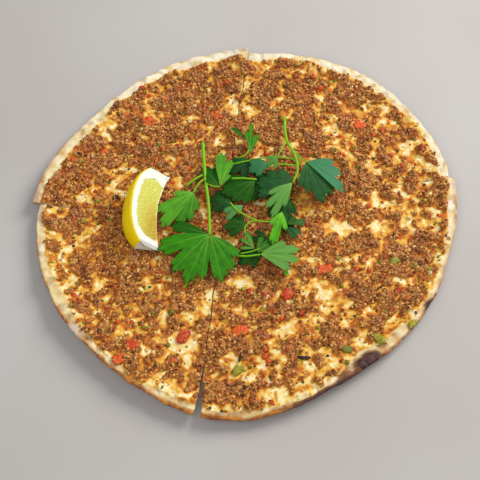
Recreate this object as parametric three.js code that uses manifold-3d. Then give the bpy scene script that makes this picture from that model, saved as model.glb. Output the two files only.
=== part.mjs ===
// A lahmacun: a round of very thin flatbread, baked under a layer of spiced minced meat and cut into
// four, with diced tomato and green pepper in the meat and a lemon wedge and parsley laid on top.
// Millimetres, +Z up. The origin is under the middle of the round, on the surface that it rests on.
import * as THREE from "three";
import { mergeVertices } from "three/addons/utils/BufferGeometryUtils.js";
import Module from "manifold-3d";

// The round: its mean radius, and the waves that make it uneven, as [lobes, height, turn in degrees].
const ROUND_RADIUS = 149.7;
const ROUND_WAVES = [
  [1, 0.8, 50],
  [2, 4.9, 87],
  [3, 2.0, 100],
  [4, 1.5, -2],
  [5, 1.4, -144],
  [7, 1.1, 75],
];

// The bread: thickness, the bead along its rim, and the rim's lift off the surface, which is highest
// at one side. The middle lies flat out to FLAT_SHARE of the radius.
const BREAD_THICKNESS = 2.3;
const BEAD_HEIGHT = 1.5;
const BEAD_PLACE = 0.968;
const BEAD_SPREAD = 0.022;
const RIM_LIFT = 6;
const RIM_LIFT_TILT = 2;
const RIM_LIFT_SIDE = 205;
const RIM_RIPPLE = 0.9;
const FLAT_SHARE = 0.62;
const LIFT_POWER = 1.8;

// The cuts meet away from the middle. Each has the bearing of its end at the rim, the sideways bow of
// its line, and how far it gapes at the rim, from GAPE_START of its length outwards.
const CROSSING = new THREE.Vector2(-14, 13);
const KERF = 0.7;
const GAPE_START = 0.74;
const CUTS = {
  right: { bearing: 10.7, bow: 1, gape: 0 },
  back: { bearing: 89.3, bow: 1.5, gape: 0.8 },
  left: { bearing: 178, bow: 4.5, gape: 0.4 },
  front: { bearing: 258, bow: -0.8, gape: 4.4 },
};

// Each quarter spreads or shrinks a little at its two cuts, which leaves a notch in the rim.
const FLARE_SPREAD = 11;
const QUARTERS = [
  { name: "back_left", from: "back", to: "left", flares: [3.0, 2.7] },
  { name: "back_right", from: "right", to: "back", flares: [-2.2, -2.0] },
  { name: "front_right", from: "front", to: "right", flares: [1.1, 1.8] },
  { name: "front_left", from: "left", to: "front", flares: [-2.4, 0.4] },
];

// The meat: mean thickness, its lumps, and the bare margin that it leaves along the rim.
const MEAT_THICKNESS = 1.9;
const MEAT_LUMPS = 0.7;
const MEAT_EDGE = 0.6;
const MARGIN = 8;
const MARGIN_WAVES = 2.6;

// Diced vegetables, sunk through the meat onto the bread, as [x, y, length, width, turn in degrees].
const DICE_HEIGHT = 4.6;
const TOMATO_DICE = [
  [-77, -104, 10, 8.5, 20],
  [-43, -95.6, 10, 7, 70],
  [-18.5, -103.5, 8, 6, 100],
  [-5, -92, 10.5, 7, 15],
  [28, -64.5, 9.5, 8, 40],
  [54, -45, 11, 6.5, 10],
  [87, 78.7, 8, 9, 60],
  [-74.8, 81.5, 10, 9, 30],
  [-22.4, 89, 9, 8, 0],
];
const PEPPER_DICE = [
  [88.5, -99.5, 9, 6, 120],
  [66, -106.4, 8.5, 5, 0],
  [103, -39.2, 8, 5.5, 30],
  [118, -43, 7, 5, 60],
  [-6.5, -120.5, 8, 6, 45],
];

// The lemon wedge: an eighth of a lemon with both ends trimmed, lying on one cut face. The thin inner
// edge is cut back in a bow, which leaves a point at each end.
const LEMON_RADIUS = 31;
const LEMON_HALF_LENGTH = 36;
const LEMON_TRIM = 31;
const LEMON_FULLNESS = 2.3;
const LEMON_ANGLE = 44;
const LEMON_BOW = 7;
const LEMON_TIP = 0.8;
const LEMON_PLACE = new THREE.Vector2(-58.5, -1);
const LEMON_TURN = -5;

// Parsley: stems of STEM_RADIUS and cut leaves of LEAF_THICKNESS. A stem is a list of points
// [x, y, height over the meat]. A leaf is [x, y, height, heading, length, half spread, droop].
const STEM_RADIUS = 1.1;
const STEM_SIDES = 6;
const STEPS_A_SPAN = 2;
const LEAF_THICKNESS = 0.9;
const LEAF_REST = 1.4;
const SPRIGS = [
  {
    name: "parsley_left",
    stems: [
      [[-33, 60, 1.6], [-32, 40, 5], [-29, 8, 7], [-27, -19, 4]],
      [[-32, 34, 6], [-37, 22, 6], [-41, 13, 5]],
      [[-31.5, 36, 6], [-25, 31, 7], [-19, 22, 6]],
    ],
    leaves: [
      [-27, -18, 4, 262, 37, 90, 3],
      [-41, 14, 5, 240, 26, 56, 3],
      [-19, 21, 6, 108, 30, 52, 2],
    ],
  },
  {
    name: "parsley_right",
    stems: [
      [[29.5, 84, 1.6], [31.5, 66, 6], [36.5, 46, 9], [33, 26, 8]],
      [[31.5, 64, 6.5], [37, 55, 9], [46, 46, 10]],
      [[36, 50, 9], [20, 48, 8], [2, 40, 4]],
    ],
    leaves: [
      [45, 47, 10, 318, 40, 48, 6],
      [33, 27, 8.2, 232, 36, 32, 3],
      [3, 40.4, 4.2, 248, 33, 62, 1.5],
    ],
  },
  {
    name: "parsley_front",
    stems: [
      [[0, 6, 1.8], [8, -8, 3.5], [22, -14, 5], [27, -22, 5]],
      [[22, -14, 5], [15, -20, 4.4], [11, -25, 4]],
    ],
    leaves: [
      [26, -20, 5, 322, 33, 46, 5],
      [11.3, -24.5, 4, 268, 18, 48, 1],
    ],
  },
];

// The gap that is left between pieces that touch.
const CLEARANCE = 0.35;

const COLOURS = {
  bread: 0xe8d2a2,
  meat: 0x9a5c34,
  tomato: 0xcf4420,
  pepper: 0x6d8c34,
  lemon: 0xe4c62c,
  parsley: 0x3e8a1c,
};

const radians = THREE.MathUtils.degToRad;
const wasm = await Module();
wasm.setup();

// --- Solids -------------------------------------------------------------------------------------

// A mesh whose shared points are merged and whose empty triangles are dropped.
function welded(positions, faces) {
  const loose = new THREE.BufferGeometry();
  loose.setAttribute("position", new THREE.Float32BufferAttribute(positions, 3));
  loose.setIndex(faces);
  const merged = mergeVertices(loose, 1e-4);
  const kept = [];
  const index = merged.index.array;
  for (let k = 0; k < index.length; k += 3) {
    const [a, b, c] = index.slice(k, k + 3);
    if (a !== b && b !== c && c !== a) kept.push(a, b, c);
  }
  merged.setIndex(kept);
  return merged;
}

// A closed slab over a grid of columns and rows: topAt and bottomAt give the points of its two skins,
// and walls join them all round.
function slab(columns, rows, topAt, bottomAt) {
  const positions = [];
  for (const at of [topAt, bottomAt]) {
    for (let i = 0; i <= columns; i++) {
      for (let j = 0; j <= rows; j++) positions.push(...at(i, j).toArray());
    }
  }
  const top = (i, j) => i * (rows + 1) + j;
  const bottom = (i, j) => top(i, j) + (columns + 1) * (rows + 1);
  const faces = [];
  const quad = (a, b, c, d) => faces.push(a, b, c, a, c, d);
  for (let i = 0; i < columns; i++) {
    for (let j = 0; j < rows; j++) {
      quad(top(i, j), top(i, j + 1), top(i + 1, j + 1), top(i + 1, j));
      quad(bottom(i, j), bottom(i + 1, j), bottom(i + 1, j + 1), bottom(i, j + 1));
    }
    quad(top(i, 0), top(i + 1, 0), bottom(i + 1, 0), bottom(i, 0));
    quad(top(i + 1, rows), top(i, rows), bottom(i, rows), bottom(i + 1, rows));
  }
  for (let j = 0; j < rows; j++) {
    quad(top(0, j + 1), top(0, j), bottom(0, j), bottom(0, j + 1));
    quad(top(columns, j), top(columns, j + 1), bottom(columns, j + 1), bottom(columns, j));
  }
  return welded(positions, faces);
}

function solidOf(geometry) {
  return new wasm.Manifold(
    new wasm.Mesh({
      numProp: 3,
      vertProperties: new Float32Array(geometry.attributes.position.array),
      triVerts: new Uint32Array(geometry.index.array),
    }),
  );
}

function geometryOf(solid) {
  const mesh = solid.getMesh();
  const geometry = new THREE.BufferGeometry();
  geometry.setAttribute("position", new THREE.BufferAttribute(mesh.vertProperties, 3));
  geometry.setIndex(new THREE.BufferAttribute(mesh.triVerts, 1));
  return geometry;
}

// A three.js shape with only its points, merged, so that it is one closed surface.
function closed(geometry) {
  geometry.deleteAttribute("normal");
  geometry.deleteAttribute("uv");
  const points = geometry.index ? geometry : mergeVertices(geometry, 1e-4);
  return welded([...points.attributes.position.array], [...points.index.array]);
}

function piece(name, geometry, colour, roughness) {
  const drawn = geometry.toNonIndexed();
  drawn.computeVertexNormals();
  const material = new THREE.MeshStandardMaterial({ color: colour, roughness, metalness: 0 });
  const mesh = new THREE.Mesh(drawn, material);
  mesh.name = name;
  return mesh;
}

// --- The round and its cuts ---------------------------------------------------------------------

// The radius of the uncut round in a direction.
function roundRadius(direction) {
  let radius = ROUND_RADIUS;
  for (const [lobes, height, turn] of ROUND_WAVES) {
    radius += height * Math.cos(lobes * direction - radians(turn));
  }
  return radius;
}

function onRound(direction) {
  const radius = roundRadius(direction);
  return new THREE.Vector2(radius * Math.cos(direction), radius * Math.sin(direction));
}

for (const cut of Object.values(CUTS)) {
  const run = onRound(radians(cut.bearing)).sub(CROSSING);
  cut.length = run.length();
  cut.along = run.normalize();
  cut.side = new THREE.Vector2(-cut.along.y, cut.along.x);
}

// How far a cut's edge lies to the side of its straight line, at a distance from the crossing. The
// two edges of a cut are at hand -1 and +1.
function cutOffset(cut, distance, hand) {
  const share = Math.min(distance / cut.length, 1.05);
  const open = Math.max(0, (share - GAPE_START) / (1 - GAPE_START));
  const bowed = cut.bow * Math.sin(Math.PI * Math.min(share, 1));
  const apart = KERF / 2 + (cut.gape / 2) * open * Math.sqrt(open);
  return cut.side.clone().multiplyScalar(bowed + hand * apart);
}

// A point of a quarter: s runs from one cut to the other, and t from the crossing to the rim.
function quarterPoint(quarter, s, t) {
  const first = CUTS[quarter.from];
  const last = CUTS[quarter.to];
  const turn = (last.bearing - first.bearing + 360) % 360;
  const bearing = first.bearing + s * turn;
  const rim = onRound(radians(bearing));
  const [flareFirst, flareLast] = quarter.flares;
  rim.addScaledVector(first.along, flareFirst * Math.exp((-s * turn) / FLARE_SPREAD));
  rim.addScaledVector(last.along, flareLast * Math.exp(((s - 1) * turn) / FLARE_SPREAD));
  const distance = t * rim.distanceTo(CROSSING);
  const point = CROSSING.clone().lerp(rim, t);
  const nearFirst = t > 0 ? (1 - s) ** 2 : 1;
  const nearLast = t > 0 ? s ** 2 : 1;
  point.addScaledVector(cutOffset(first, distance, 1), nearFirst);
  point.addScaledVector(cutOffset(last, distance, -1), nearLast);
  return point;
}

// --- Heights ------------------------------------------------------------------------------------

// The underside: flat in the middle, then lifting towards a wavy rim.
function undersideHeight(point) {
  const direction = point.angle();
  const share = point.length() / roundRadius(direction);
  const tilt = RIM_LIFT_TILT * Math.cos(direction - radians(RIM_LIFT_SIDE));
  const ripple = RIM_RIPPLE * (Math.sin(5 * direction + 0.6) + 0.5 * Math.sin(9 * direction));
  const rise = Math.max(0, (share - FLAT_SHARE) / (1 - FLAT_SHARE));
  return (RIM_LIFT + tilt + ripple) * rise ** LIFT_POWER;
}

function breadThickness(point) {
  const direction = point.angle();
  const share = point.length() / roundRadius(direction);
  const bead = Math.exp(-(((share - BEAD_PLACE) / BEAD_SPREAD) ** 2));
  const puff = 1 + 0.3 * Math.sin(11 * direction + 1.7);
  return BREAD_THICKNESS + BEAD_HEIGHT * bead * puff;
}

function breadTop(point) {
  return undersideHeight(point) + breadThickness(point);
}

function meatThickness(point) {
  const { x, y } = point;
  const broad = Math.sin(x / 13 + 0.4) * Math.sin(y / 11 + 1.1);
  const fine = Math.sin(x / 6.1 + y / 9.3) * 0.5;
  return MEAT_THICKNESS + MEAT_LUMPS * (broad + fine);
}

// The top of the meat, away from its edge at the rim.
function meatTop(point) {
  return breadTop(point) + CLEARANCE + meatThickness(point);
}

// --- Bread and meat -----------------------------------------------------------------------------

// Both are laid out on one grid: MEAT_ROWS from the crossing to the edge of the meat, and then, on the
// bread alone, a row on the crest of the bead and a row on the nose that rounds off the rim.
const QUARTER_COLUMNS = 18;
const MEAT_ROWS = 8;
const BREAD_ROWS = MEAT_ROWS + 2;
const ROW_POWER = 1.25;
const CREST_SHARE = 0.6;
const NOSE_TOP = 0.62;
const NOSE_BOTTOM = 0.3;

// The bare margin between the meat and the rim, in a direction.
function margin(direction) {
  const wave = Math.sin(7 * direction + 1) + 0.6 * Math.sin(17 * direction + 2);
  return MARGIN + MARGIN_WAVES * wave;
}

function gridPoint(quarter, i, j) {
  const s = i / QUARTER_COLUMNS;
  const rim = quarterPoint(quarter, s, 1);
  const reach = 1 - margin(rim.angle()) / rim.distanceTo(CROSSING);
  const inMeat = reach * (1 - (1 - Math.min(j / MEAT_ROWS, 1)) ** ROW_POWER);
  const crest = reach + (1 - reach) * CREST_SHARE;
  const t = j <= MEAT_ROWS ? inMeat : j === BREAD_ROWS ? 1 : crest;
  return quarterPoint(quarter, s, t);
}

function breadQuarter(quarter) {
  const skin = (share, noseShare) => (i, j) => {
    const p = gridPoint(quarter, i, j);
    const up = j === BREAD_ROWS ? noseShare : share;
    return new THREE.Vector3(p.x, p.y, undersideHeight(p) + up * breadThickness(p));
  };
  return slab(QUARTER_COLUMNS, BREAD_ROWS, skin(1, NOSE_TOP), skin(0, NOSE_BOTTOM));
}

// A quarter of the meat. It lies on the bread, shows at both cuts, and thins out towards the rim.
function meatQuarter(quarter) {
  const skin = (thicknessAt) => (i, j) => {
    const p = gridPoint(quarter, i, j);
    return new THREE.Vector3(p.x, p.y, breadTop(p) + CLEARANCE + thicknessAt(p, j));
  };
  const upper = skin((p, j) => (j === MEAT_ROWS ? MEAT_EDGE : meatThickness(p)));
  const lower = skin(() => 0);
  return slab(QUARTER_COLUMNS, MEAT_ROWS, upper, lower);
}

// --- Diced vegetables ---------------------------------------------------------------------------

// A die: six-sided, soft at its top, and following the slope of the bread that it is seated on. As a
// pocket in the meat it is grown all round by a clearance.
function die([x, y, length, width, turn], grown) {
  const height = DICE_HEIGHT + 2 * grown;
  const profile = [
    new THREE.Vector2(0, 0),
    new THREE.Vector2(0.94, 0),
    new THREE.Vector2(1, 0.55 * height),
    new THREE.Vector2(0.72, height),
    new THREE.Vector2(0, height),
  ];
  const shape = new THREE.LatheGeometry(profile, 6);
  shape.rotateX(Math.PI / 2);
  shape.scale(length / 2 + grown, width / 2 + grown, 1);
  shape.rotateZ(radians(turn));
  shape.translate(x, y, 0);
  const points = shape.attributes.position;
  for (let k = 0; k < points.count; k++) {
    const seat = breadTop(new THREE.Vector2(points.getX(k), points.getY(k))) + CLEARANCE - grown;
    points.setZ(k, points.getZ(k) + seat);
  }
  return closed(shape);
}

// --- Lemon --------------------------------------------------------------------------------------

const LEMON_COLUMNS = 14;
const LEMON_FACE_ROWS = 2;
const LEMON_PEEL_ROWS = 3;

// The wedge in its own frame: the lemon's axis along Y, one cut face down, and the peel towards -X.
function lemonWedge() {
  const rows = LEMON_FACE_ROWS + LEMON_PEEL_ROWS;
  const angle = radians(LEMON_ANGLE);
  const at = (startAngle) => (i, j) => {
    const y = LEMON_TRIM * (1 - (2 * i) / LEMON_COLUMNS);
    const share = Math.abs(y) / LEMON_HALF_LENGTH;
    const outer = LEMON_RADIUS * (1 - share ** LEMON_FULLNESS) ** (1 / LEMON_FULLNESS);
    const inner = LEMON_TIP + LEMON_BOW * (1 - (y / LEMON_TRIM) ** 2);
    const out = inner + (outer - inner) * Math.min(1, j / LEMON_FACE_ROWS);
    const round = Math.max(0, j - LEMON_FACE_ROWS) / LEMON_PEEL_ROWS;
    const turn = startAngle + (angle / 2 - startAngle) * round;
    return new THREE.Vector3(-out * Math.cos(turn), y, out * Math.sin(turn));
  };
  return slab(LEMON_COLUMNS, rows, at(angle), at(0));
}

// The highest point of the meat under the wedge, which is what the wedge rests on.
function lemonSeat() {
  let highest = 0;
  for (let x = -LEMON_RADIUS; x <= 0; x += 1) {
    for (let y = -LEMON_TRIM; y <= LEMON_TRIM; y += 1) {
      const under = new THREE.Vector2(x, y);
      under.rotateAround(new THREE.Vector2(0, 0), radians(LEMON_TURN)).add(LEMON_PLACE);
      highest = Math.max(highest, meatTop(under));
    }
  }
  return highest + CLEARANCE;
}

// --- Parsley ------------------------------------------------------------------------------------

const LEAF_COLUMNS = 18;
const LEAF_ROWS = 2;
const LEAFLETS = 3;
const LEAF_TEETH = 9;

function overMeat(x, y, height) {
  return new THREE.Vector3(x, y, meatTop(new THREE.Vector2(x, y)) + height);
}

function stem(points) {
  const path = new THREE.CatmullRomCurve3(points.map(([x, y, height]) => overMeat(x, y, height)));
  const section = new THREE.Shape();
  for (let k = 0; k < STEM_SIDES; k++) {
    const turn = (2 * Math.PI * k) / STEM_SIDES;
    const [x, y] = [STEM_RADIUS * Math.cos(turn), STEM_RADIUS * Math.sin(turn)];
    if (k === 0) section.moveTo(x, y);
    else section.lineTo(x, y);
  }
  section.closePath();
  const steps = STEPS_A_SPAN * (points.length - 1);
  return closed(new THREE.ExtrudeGeometry(section, { steps, extrudePath: path }));
}

// A leaf: a fan of leaflets about its base, each with blunt teeth, drooping until it meets the meat.
function leaf([x, y, height, heading, length, spread, droop]) {
  const base = overMeat(x, y, height);
  const at = (sunk) => (i, j) => {
    const across = (2 * i) / LEAF_COLUMNS - 1;
    const turn = radians(heading + across * spread);
    const lobes = 0.82 + 0.18 * Math.cos(LEAFLETS * Math.PI * across);
    const teeth = 1 - 0.07 * Math.cos(LEAF_TEETH * Math.PI * across);
    const reach = length * lobes * teeth * (1 - 0.22 * across ** 2);
    const out = (reach * j) / LEAF_ROWS;
    const place = new THREE.Vector2(Math.cos(turn), Math.sin(turn)).multiplyScalar(out);
    place.add(new THREE.Vector2(x, y));
    const hung = base.z - droop * (out / length) ** 2;
    const lowest = meatTop(place) + LEAF_REST;
    return new THREE.Vector3(place.x, place.y, Math.max(hung, lowest) - sunk);
  };
  return slab(LEAF_COLUMNS, LEAF_ROWS, at(0), at(LEAF_THICKNESS));
}

function sprig({ stems, leaves }) {
  let whole = null;
  for (const part of [...stems.map(stem), ...leaves.map(leaf)]) {
    whole = whole ? whole.add(solidOf(part)) : solidOf(part);
  }
  return geometryOf(whole);
}

// --- The lahmacun -------------------------------------------------------------------------------

const lahmacun = new THREE.Group();

const dice = [...TOMATO_DICE, ...PEPPER_DICE];
for (const quarter of QUARTERS) {
  lahmacun.add(piece(`bread_${quarter.name}`, breadQuarter(quarter), COLOURS.bread, 0.8));
  let meat = solidOf(meatQuarter(quarter));
  for (const cube of dice) meat = meat.subtract(solidOf(die(cube, CLEARANCE)));
  lahmacun.add(piece(`meat_${quarter.name}`, geometryOf(meat), COLOURS.meat, 0.6));
}

TOMATO_DICE.forEach((cube, k) => {
  lahmacun.add(piece(`tomato_${k + 1}`, die(cube, 0), COLOURS.tomato, 0.35));
});
PEPPER_DICE.forEach((cube, k) => {
  lahmacun.add(piece(`pepper_${k + 1}`, die(cube, 0), COLOURS.pepper, 0.4));
});

const lemon = piece("lemon_wedge", lemonWedge(), COLOURS.lemon, 0.4);
lemon.position.set(LEMON_PLACE.x, LEMON_PLACE.y, lemonSeat());
lemon.rotation.z = radians(LEMON_TURN);
lahmacun.add(lemon);

for (const { name, stems, leaves } of SPRIGS) {
  lahmacun.add(piece(name, sprig({ stems, leaves }), COLOURS.parsley, 0.55));
}

export default lahmacun;
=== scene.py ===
import math

import bpy
import numpy as np
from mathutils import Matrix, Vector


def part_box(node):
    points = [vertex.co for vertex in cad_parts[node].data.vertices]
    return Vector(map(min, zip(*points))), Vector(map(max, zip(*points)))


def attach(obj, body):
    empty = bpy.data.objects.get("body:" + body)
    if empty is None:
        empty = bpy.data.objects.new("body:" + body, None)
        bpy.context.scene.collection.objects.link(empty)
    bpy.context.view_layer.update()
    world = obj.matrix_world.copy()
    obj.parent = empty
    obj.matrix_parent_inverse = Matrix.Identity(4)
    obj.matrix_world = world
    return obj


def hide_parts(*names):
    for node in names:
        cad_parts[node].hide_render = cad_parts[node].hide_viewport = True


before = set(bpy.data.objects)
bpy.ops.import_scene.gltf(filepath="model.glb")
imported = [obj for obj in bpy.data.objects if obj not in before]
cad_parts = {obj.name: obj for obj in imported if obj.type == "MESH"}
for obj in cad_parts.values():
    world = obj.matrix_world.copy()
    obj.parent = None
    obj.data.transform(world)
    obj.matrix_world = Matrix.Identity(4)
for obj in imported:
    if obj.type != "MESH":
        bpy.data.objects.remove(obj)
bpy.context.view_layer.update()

# --- The bread ----------------------------------------------------------------------------------
# One round of very thin yeast dough, baked on a hot stone and cut across twice. Its middle lies flat.
# Its rim puffed, lifted and caught the heat, and is floury in some places and charred in others.
# Lengths are in millimetres, and become metres where a mesh is made.

MM = 0.001
ROUND_RADIUS = 149.7
ROUND_WAVES = ((1, 0.8, 50), (2, 4.9, 87), (3, 2.0, 100), (4, 1.5, -2), (5, 1.4, -144), (7, 1.1, 75))
CROSSING = np.array((-14.0, 13.0))
KERF = 0.7
GAPE_START = 0.74
CUTS = {
    "right": {"bearing": 10.7, "bow": 1.0, "gape": 0.0},
    "back": {"bearing": 89.3, "bow": 1.5, "gape": 0.8},
    "left": {"bearing": 178.0, "bow": 4.5, "gape": 0.4},
    "front": {"bearing": 258.0, "bow": -0.8, "gape": 4.4},
}
FLARE_SPREAD = 11
QUARTERS = {
    "back_left": ("back", "left", (3.0, 2.7)),
    "back_right": ("right", "back", (-2.2, -2.0)),
    "front_right": ("front", "right", (1.1, 1.8)),
    "front_left": ("left", "front", (-2.4, 0.4)),
}
RIM_RAGGED = 1.1
BREAD_THICKNESS = 2.3
RIM_LIFT = 6.0
RIM_CURVE = 1.8
RIM_TILT = 2.0
TILT_BEARING = 205
RIM_RIPPLE = 0.9
FLAT_SHARE = 0.62
NOSE = 1.5
NOSE_SHARE = 0.42
BEAD_AT = 0.962
BEAD_HEIGHT = 0.6
BEAD_REACH = 0.026
OVEN_BEARING = 262

# Where the rim burnt, as (x, y, reach along the rim, reach across it, strength). SCORCHED is the arc,
# in degrees, whose edge is black. FLOURED places are (x, y, reach).
BURNS = (
    (79, -115, 17, 8.5, 1.0),
    (64, -126, 9, 6, 0.6),
    (125, -75, 8, 7, 1.0),
    (131, -68, 5, 5, 0.8),
    (143, -22, 3, 3, 0.55),
    (137, -58, 4, 4, 0.6),
    (118, -92, 4, 4, 0.6),
)
SCORCHED = (276, 306)
FLOURED = ((-144, -30, 14), (-119, -97, 12), (-141, 26, 9), (4, 147, 14), (147, 8, 16), (-20, 147, 9))


def smooth(low, high, value):
    """0 below low, 1 above high, and an even S between them."""
    share = np.clip((value - low) / (high - low), 0, 1)
    return share * share * (3 - 2 * share)


def bell(value, width):
    """1 where value is 0, fading to nothing at twice the width on both sides."""
    return np.exp(-((value / width) ** 2))


def chance(i, j, seed):
    """A number from 0 to 1 for each square of a grid, the same on every run."""
    mixed = (i.astype(np.int64) * 374761393 + j.astype(np.int64) * 668265263 + seed * 974634777) & 0xFFFFFFFF
    mixed = ((mixed ^ (mixed >> 13)) * 1274126177) & 0xFFFFFFFF
    return ((mixed ^ (mixed >> 16)) & 0xFFFF) / 65535.0


def swell(x, y, size, seed):
    """Soft hills and hollows, from 0 to 1, each about size across."""
    i, j = np.floor(x / size), np.floor(y / size)
    a = smooth(0, 1, x / size - i)
    b = smooth(0, 1, y / size - j)
    low = chance(i, j, seed) * (1 - a) + chance(i + 1, j, seed) * a
    high = chance(i, j + 1, seed) * (1 - a) + chance(i + 1, j + 1, seed) * a
    return low * (1 - b) + high * b


def grains(x, y, size, seed):
    """Domes lying side by side, each about size across: their height from 0 to 1, and a tone each."""
    i, j = np.floor(x / size), np.floor(y / size)
    nearest, tone = np.full(x.shape, 9.0), np.zeros(x.shape)
    for di in (-1, 0, 1):
        for dj in (-1, 0, 1):
            across = (i + di + 0.1 + 0.8 * chance(i + di, j + dj, seed)) * size - x
            along = (j + dj + 0.1 + 0.8 * chance(i + di, j + dj, seed + 1)) * size - y
            away = np.hypot(across, along) / size
            closer = away < nearest
            nearest = np.where(closer, away, nearest)
            tone = np.where(closer, chance(i + di, j + dj, seed + 2), tone)
    return np.sqrt(np.clip(1 - (nearest / 0.72) ** 2, 0, 1)), tone


def turned_to(x, y, degrees, place):
    """Points turned about the origin, and then moved so that the origin lies at place."""
    c, s = math.cos(math.radians(degrees)), math.sin(math.radians(degrees))
    return place[0] + x * c - y * s, place[1] + x * s + y * c


def patches(x, y, places):
    """How far each point lies inside any of the round places (x, y, reach), from 0 to 1."""
    inside = np.zeros(x.shape)
    for px, py, reach in places:
        inside = np.maximum(inside, np.exp(-((x - px) ** 2 + (y - py) ** 2) / (0.6 * reach) ** 2))
    return inside


def burnt(x, y):
    """How far each point lies inside a burnt place, from 0 to 1, and the same by its strength."""
    inside, charred = np.zeros(x.shape), np.zeros(x.shape)
    for px, py, along_reach, across_reach, strength in BURNS:
        outward = np.array((px, py)) / math.hypot(px, py)
        across = ((x - px) * outward[0] + (y - py) * outward[1]) / across_reach
        along = ((y - py) * outward[0] - (x - px) * outward[1]) / along_reach
        here = np.exp(-2.6 * (across**2 + along**2))
        ragged = here + 0.2 * (swell(x, y, 3.5, 35) - 0.5)
        inside = np.maximum(inside, here * strength)
        charred = np.maximum(charred, strength * smooth(0.2, 0.6, ragged))
    return inside, charred


def round_radius(bearing):
    """The radius of the uncut round, for bearings in radians."""
    waves = [height * np.cos(lobes * bearing - math.radians(turn)) for lobes, height, turn in ROUND_WAVES]
    return ROUND_RADIUS + sum(waves)


def on_round(bearing):
    return np.stack((np.cos(bearing), np.sin(bearing)), -1) * round_radius(bearing)[..., None]


for cut in CUTS.values():
    run = on_round(np.radians(np.array(cut["bearing"]))) - CROSSING
    cut["length"] = float(np.hypot(*run))
    cut["along"] = run / cut["length"]
    cut["side"] = np.array((-cut["along"][1], cut["along"][0]))


def cut_offset(cut, distance, hand, kerf):
    """How far an edge of a cut lies to the side of the cut's straight line."""
    share = np.minimum(distance / cut["length"], 1.05)
    opening = np.clip((share - GAPE_START) / (1 - GAPE_START), 0, None) ** 1.5
    bowed = cut["bow"] * np.sin(np.pi * np.minimum(share, 1))
    apart = kerf / 2 + cut["gape"] / 2 * opening
    wander = 0.35 * np.sin(distance / 4.7 + cut["bearing"]) + 0.2 * np.sin(distance / 2.1)
    return (bowed + wander * np.minimum(1, share * 6) + hand * apart)[..., None] * cut["side"]


def quarter_points(name, s, t, kerf=KERF):
    """Points of a quarter: s runs from its first cut to its second, and t from the crossing to the rim."""
    first, last = CUTS[QUARTERS[name][0]], CUTS[QUARTERS[name][1]]
    flares = QUARTERS[name][2]
    turn = (last["bearing"] - first["bearing"]) % 360
    rim = on_round(np.radians(first["bearing"] + s * turn))
    rim = rim + (flares[0] * np.exp(-s * turn / FLARE_SPREAD))[..., None] * first["along"]
    rim = rim + (flares[1] * np.exp((s - 1) * turn / FLARE_SPREAD))[..., None] * last["along"]
    outward = rim / np.linalg.norm(rim, axis=-1, keepdims=True)
    ragged = swell(rim[..., 0], rim[..., 1], 13, 3) + 0.6 * swell(rim[..., 0], rim[..., 1], 4.5, 4) - 0.8
    ragged = ragged + 0.35 * (swell(rim[..., 0], rim[..., 1], 2.0, 5) - 0.5)
    rim = rim + (RIM_RAGGED * ragged)[..., None] * outward
    distance = t * np.linalg.norm(rim - CROSSING, axis=-1)
    tip = np.minimum(1, t / 0.03)
    points = CROSSING + t[..., None] * (rim - CROSSING)
    points = points + ((1 - s) ** 2 * tip + 1 - tip)[..., None] * cut_offset(first, distance, 1, kerf)
    points = points + (s**2 * tip + 1 - tip)[..., None] * cut_offset(last, distance, -1, kerf)
    return points[..., 0], points[..., 1]


def rim_share(x, y):
    return np.hypot(x, y) / round_radius(np.arctan2(y, x))


def underside(x, y):
    """Height of the bread's underside: flat in the middle, then lifting to a wavy rim."""
    bearing = np.arctan2(y, x)
    tilt = RIM_TILT * np.cos(bearing - math.radians(TILT_BEARING))
    ripple = RIM_RIPPLE * (np.sin(5 * bearing + 0.6) + 0.5 * np.sin(9 * bearing))
    rise = np.clip((rim_share(x, y) - FLAT_SHARE) / (1 - FLAT_SHARE), 0, None)
    return (RIM_LIFT + tilt + ripple) * rise**RIM_CURVE


def blisters(x, y):
    """Bubbles of the crust, which are biggest along the rim and where it burnt."""
    near_rim = smooth(0.86, 0.95, rim_share(x, y))
    wide, wide_tone = grains(x, y, 11, 21)
    fine, fine_tone = grains(x, y, 4.5, 24)
    big = np.clip(1 - ((1 - wide) / 0.55) ** 2, 0, 1) * (wide_tone > 0.45)
    small = fine * (fine_tone > 0.6)
    return near_rim * (big + 0.45 * small) + burnt(x, y)[0] * (1.8 + 0.4 * swell(x, y, 3.2, 27))


def bread_top(x, y):
    """Height of the bread's top, with the bead along its rim and the dough's own unevenness."""
    bearing = np.arctan2(y, x)
    bead = bell(rim_share(x, y) - BEAD_AT, BEAD_REACH) * (1 + 0.3 * np.sin(11 * bearing + 1.7))
    lumps = 0.5 * (swell(x, y, 14, 11) - 0.5) + 0.3 * (swell(x, y, 5, 12) - 0.5)
    return underside(x, y) + BREAD_THICKNESS + BEAD_HEIGHT * bead + lumps + blisters(x, y)


def wound(quads):
    """Triangles from rows of four point numbers, without those that have shrunk to nothing."""
    triangles = np.concatenate((quads[:, [0, 1, 2]], quads[:, [0, 2, 3]]))
    a, b, c = triangles.T
    return triangles[(a != b) & (b != c) & (c != a)]


def cells(ids):
    """The quads between the rows and columns of a grid of point numbers."""
    corners = (ids[:-1, :-1], ids[:-1, 1:], ids[1:, 1:], ids[1:, :-1])
    return np.stack([corner.ravel() for corner in corners], -1)


def two_skins(shape):
    """The quads of two skins on one grid, whose rows start at one point and whose far sides meet."""
    ids = np.arange(shape[0] * shape[1]).reshape(shape)
    ids[:, 0] = ids[0, 0]
    low_ids = ids + ids.size
    low_ids[:, -1] = ids[:, -1]
    walls = (np.stack((low_ids[0], ids[0])), np.stack((ids[-1], low_ids[-1])))
    return np.concatenate([cells(grid) for grid in (ids, low_ids[::-1], *walls)])


def cells_round(loops):
    """The quads between loops of point numbers, each of which closes on its own start."""
    return cells(np.stack([np.append(loop, loop[0]) for loop in loops]))


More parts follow.
